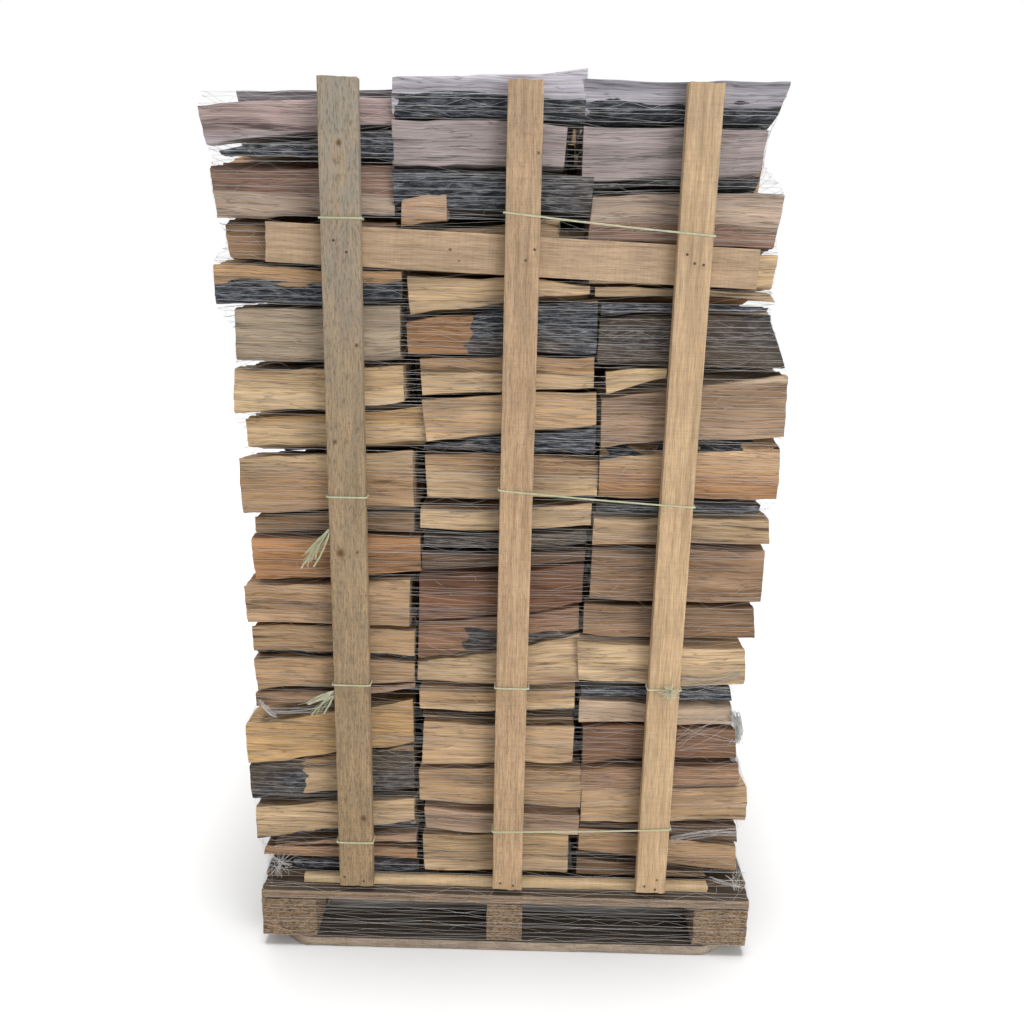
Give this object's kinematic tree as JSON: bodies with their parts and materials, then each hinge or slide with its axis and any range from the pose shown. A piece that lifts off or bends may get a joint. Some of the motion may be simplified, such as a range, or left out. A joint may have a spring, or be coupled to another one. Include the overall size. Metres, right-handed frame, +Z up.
{
  "type": "palletised firewood stack",
  "caption": "Pallet load of split firewood logs laid in columns, held by timber uprights and rails, tied with twine and wrapped in netting, free-standing on a block pallet.",
  "frame": {"origin": "on the ground, under the middle of the load's bounding box", "axes": "+Z up, the front faces -Y, and the logs lie along X with +X to the right seen from the front"},
  "size_m": [1.1052, 1.2076, 1.7],
  "materials": {
    "pallet_board": "rough-sawn softwood, greyed and dirty",
    "pressed_block": "pressed wood chips, raw",
    "pale_batten": "fresh-sawn softwood, unplaned",
    "weathered_batten": "sawn softwood, greyed and mottled",
    "split_log": "split hardwood with bark, sawn ends",
    "baler_twine": "twisted pale green baler twine",
    "pallet_net": "knitted white polyethylene netting"
  },
  "bodies": {
    "root": {"base_board_back": "pallet_board", "base_board_front": "pallet_board", "base_board_left": "pallet_board", "base_board_middle": "pallet_board", "base_board_right": "pallet_board", "block_back_left": "pressed_block", "block_back_middle": "pressed_block", "block_back_right": "pressed_block", "block_centre_left": "pressed_block", "block_centre_middle": "pressed_block", "block_centre_right": "pressed_block", "block_front_left": "pressed_block", "block_front_middle": "pressed_block", "block_front_right": "pressed_block", "deck_board_1": "pallet_board", "deck_board_2": "pallet_board", "deck_board_3": "pallet_board", "deck_board_4": "pallet_board", "deck_board_5": "pallet_board", "log_tier_left_1": "split_log", "log_tier_left_2": "split_log", "log_tier_left_3": "split_log", "log_tier_left_4": "split_log", "log_tier_left_5": "split_log", "log_tier_left_6": "split_log", "log_tier_middle_1": "split_log", "log_tier_middle_2": "split_log", "log_tier_middle_3": "split_log", "log_tier_middle_4": "split_log", "log_tier_middle_5": "split_log", "log_tier_middle_6": "split_log", "log_tier_right_1": "split_log", "log_tier_right_2": "split_log", "log_tier_right_3": "split_log", "log_tier_right_4": "split_log", "log_tier_right_5": "split_log", "log_tier_right_6": "split_log", "net_skin": "pallet_net", "rail_back_lower": "pale_batten", "rail_back_upper": "pale_batten", "rail_front_lower": "pale_batten", "rail_front_upper": "pale_batten", "stringer_back": "pallet_board", "stringer_centre": "pallet_board", "stringer_front": "pallet_board", "twine_tie_a_left": "baler_twine", "twine_tie_a_pair": "baler_twine", "twine_tie_b_left": "baler_twine", "twine_tie_b_pair": "baler_twine", "twine_tie_c_left": "baler_twine", "twine_tie_c_middle": "baler_twine", "twine_tie_c_right": "baler_twine", "twine_tie_d_left": "baler_twine", "twine_tie_d_pair": "baler_twine", "upright_back_left": "weathered_batten", "upright_back_middle": "pale_batten", "upright_back_right": "pale_batten", "upright_front_left": "weathered_batten", "upright_front_middle": "pale_batten", "upright_front_right": "pale_batten"}
  },
  "joints": []
}
